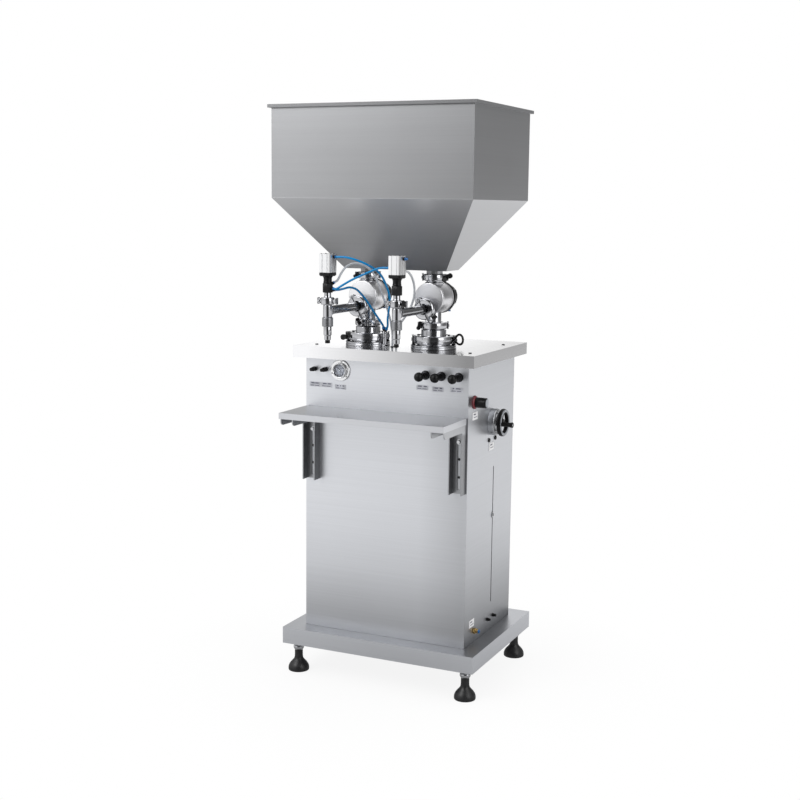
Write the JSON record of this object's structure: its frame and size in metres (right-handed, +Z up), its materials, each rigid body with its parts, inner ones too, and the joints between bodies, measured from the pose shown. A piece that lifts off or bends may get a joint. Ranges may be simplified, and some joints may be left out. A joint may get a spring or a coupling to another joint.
{
  "type": "piston liquid filler",
  "caption": "Free-standing pneumatic piston filler: steel cabinet on levelling feet, rectangular hopper, two metering heads with shut-off nozzles and a height-adjustable container shelf.",
  "frame": {"origin": "on the floor, under the centre of the machine's outline without its air tubes", "axes": "+X to the machine's right, -Y towards the operator, +Z up"},
  "size_m": [0.6396, 0.59, 1.65],
  "materials": {
    "brushed_sheet": "satin brushed stainless sheet with a fine straight grain",
    "polished_sheet": "bright polished stainless plate",
    "polished_steel": "mirror polished sanitary tube, clamps and bezels",
    "turned_steel": "machined stainless with fine turning marks",
    "aluminium": "clear anodised extruded aluminium",
    "black_plastic": "black moulded plastic, slightly glossy",
    "foot_plastic": "black moulded foot with a rubber sole on a bright stud",
    "white_plastic": "white sealing plastic",
    "brass": "plain machined brass",
    "blue_tube": "azure blue polyurethane air tube",
    "clear_tube": "milky clear polyurethane air tube"
  },
  "bodies": {
    "root": {"air_inlet": "brass", "air_tube_clear_left": "clear_tube", "air_tube_clear_right": "clear_tube", "air_tube_crossover": "blue_tube", "air_tube_left_low": "blue_tube", "air_tube_left_top": "blue_tube", "base_tray": "brushed_sheet", "cylinder_clamp_left": "polished_steel", "cylinder_clamp_right": "polished_steel", "cylinder_head_left": "turned_steel", "cylinder_head_right": "turned_steel", "drive_cylinder": "aluminium", "front_panel": "brushed_sheet", "handwheel_flange": "aluminium", "hopper": "brushed_sheet", "left_panel": "brushed_sheet", "lower_clamp_left": "polished_steel", "lower_clamp_right": "polished_steel", "material_cylinder_left": "turned_steel", "material_cylinder_right": "turned_steel", "nozzle_actuator_left": "aluminium", "nozzle_actuator_right": "aluminium", "nozzle_body_left": "polished_steel", "nozzle_body_right": "polished_steel", "outlet_pipe_left": "polished_steel", "outlet_pipe_right": "polished_steel", "pressure_gauge": "polished_steel", "rear_cover": "brushed_sheet", "right_panel": "brushed_sheet", "top_plate": "polished_sheet", "upper_clamp_left": "polished_steel", "upper_clamp_right": "polished_steel", "valve_actuator_left": "black_plastic", "valve_actuator_right": "black_plastic", "valve_body_left": "turned_steel", "valve_body_right": "turned_steel"},
    "foot_front_left": {"foot_front_left": "foot_plastic"},
    "foot_front_right": {"foot_front_right": "foot_plastic"},
    "foot_rear_left": {"foot_rear_left": "foot_plastic"},
    "foot_rear_right": {"foot_rear_right": "foot_plastic"},
    "shelf": {"shelf_tray": "brushed_sheet", "shelf_bracket_left": "brushed_sheet", "shelf_bracket_right": "brushed_sheet"},
    "throttle_knob_left": {"throttle_knob_left": "black_plastic"},
    "throttle_knob_right": {"throttle_knob_right": "black_plastic"},
    "push_knob_left": {"push_knob_left": "black_plastic"},
    "push_knob_middle": {"push_knob_middle": "black_plastic"},
    "push_knob_right": {"push_knob_right": "black_plastic"},
    "regulator_knob": {"regulator_knob": "black_plastic"},
    "handwheel": {"handwheel": "black_plastic"},
    "handwheel_grip": {"handwheel_grip": "black_plastic"},
    "adjusting_screw": {"adjusting_screw": "turned_steel"},
    "stop_block": {"stop_block": "turned_steel"},
    "drive": {"drive_yoke": "turned_steel", "piston_left": "white_plastic", "piston_right": "white_plastic"},
    "valve_plug_left": {"valve_plug_left": "turned_steel"},
    "nozzle_plunger_left": {"nozzle_plunger_left": "black_plastic"},
    "valve_plug_right": {"valve_plug_right": "turned_steel"},
    "nozzle_plunger_right": {"nozzle_plunger_right": "black_plastic"}
  },
  "joints": [
    {"name": "foot_front_left_level", "type": "slide", "parent": "root", "child": "foot_front_left", "axis": [0, 0, -1], "range_m": [0, 0.02]},
    {"name": "foot_front_right_level", "type": "slide", "parent": "root", "child": "foot_front_right", "axis": [0, 0, -1], "range_m": [0, 0.02]},
    {"name": "foot_rear_left_level", "type": "slide", "parent": "root", "child": "foot_rear_left", "axis": [0, 0, -1], "range_m": [0, 0.02]},
    {"name": "foot_rear_right_level", "type": "slide", "parent": "root", "child": "foot_rear_right", "axis": [0, 0, -1], "range_m": [0, 0.02]},
    {"name": "shelf_height", "type": "slide", "parent": "root", "child": "shelf", "axis": [0, 0, 1], "range_m": [0, 0.07]},
    {"name": "throttle_left_turn", "type": "hinge", "parent": "root", "child": "throttle_knob_left", "pos_m": [-0.23425, -0.124, 0.908], "axis": [0, -1, 0], "range_deg": [-720, 720]},
    {"name": "throttle_right_turn", "type": "hinge", "parent": "root", "child": "throttle_knob_right", "pos_m": [-0.20025, -0.124, 0.908], "axis": [0, -1, 0], "range_deg": [-720, 720]},
    {"name": "push_knob_left_press", "type": "slide", "parent": "root", "child": "push_knob_left", "axis": [0, 1, 0], "range_m": [0, 0.008]},
    {"name": "push_knob_middle_press", "type": "slide", "parent": "root", "child": "push_knob_middle", "axis": [0, 1, 0], "range_m": [0, 0.008]},
    {"name": "push_knob_right_press", "type": "slide", "parent": "root", "child": "push_knob_right", "axis": [0, 1, 0], "range_m": [0, 0.008]},
    {"name": "regulator_turn", "type": "hinge", "parent": "root", "child": "regulator_knob", "pos_m": [0.24475, -0.078, 0.838], "axis": [1, 0, 0], "range_deg": [-720, 720]},
    {"name": "handwheel_turn", "type": "hinge", "parent": "root", "child": "handwheel", "pos_m": [0.24475, 0.063, 0.763], "axis": [1, 0, 0], "range_deg": [-4510, 2350]},
    {"name": "handwheel_grip_spin", "type": "hinge", "parent": "handwheel", "child": "handwheel_grip", "pos_m": [0.27675, 0.033, 0.763], "axis": [1, 0, 0], "continuous": true},
    {"name": "adjusting_screw_turn", "type": "hinge", "parent": "root", "child": "adjusting_screw", "pos_m": [0.19075, 0.063, 0.138], "axis": [0, 0, 1], "range_deg": [-4510, 2350]},
    {"name": "stop_block_lift", "type": "slide", "parent": "root", "child": "stop_block", "axis": [0, 0, 1], "range_m": [-0.25, 0.13]},
    {"name": "drive_lift", "type": "slide", "parent": "root", "child": "drive", "axis": [0, 0, 1], "range_m": [0, 0.1]},
    {"name": "valve_left_turn", "type": "hinge", "parent": "root", "child": "valve_plug_left", "pos_m": [-0.11325, -0.024, 1.12], "axis": [0, 1, 0], "range_deg": [0, 90]},
    {"name": "nozzle_left_open", "type": "slide", "parent": "root", "child": "nozzle_plunger_left", "axis": [0, 0, -1], "range_m": [0, 0.01], "stiffness_N_per_m": 500, "springref_m": -0.02},
    {"name": "valve_right_turn", "type": "hinge", "parent": "root", "child": "valve_plug_right", "pos_m": [0.09475, -0.024, 1.12], "axis": [0, 1, 0], "range_deg": [0, 90]},
    {"name": "nozzle_right_open", "type": "slide", "parent": "root", "child": "nozzle_plunger_right", "axis": [0, 0, -1], "range_m": [0, 0.01], "stiffness_N_per_m": 500, "springref_m": -0.02}
  ],
  "couplings": [
    {"joint": "adjusting_screw_turn", "follows": "stop_block_lift", "rad_per_m": 314.16},
    {"joint": "handwheel_turn", "follows": "stop_block_lift", "rad_per_m": 314.16}
  ]
}
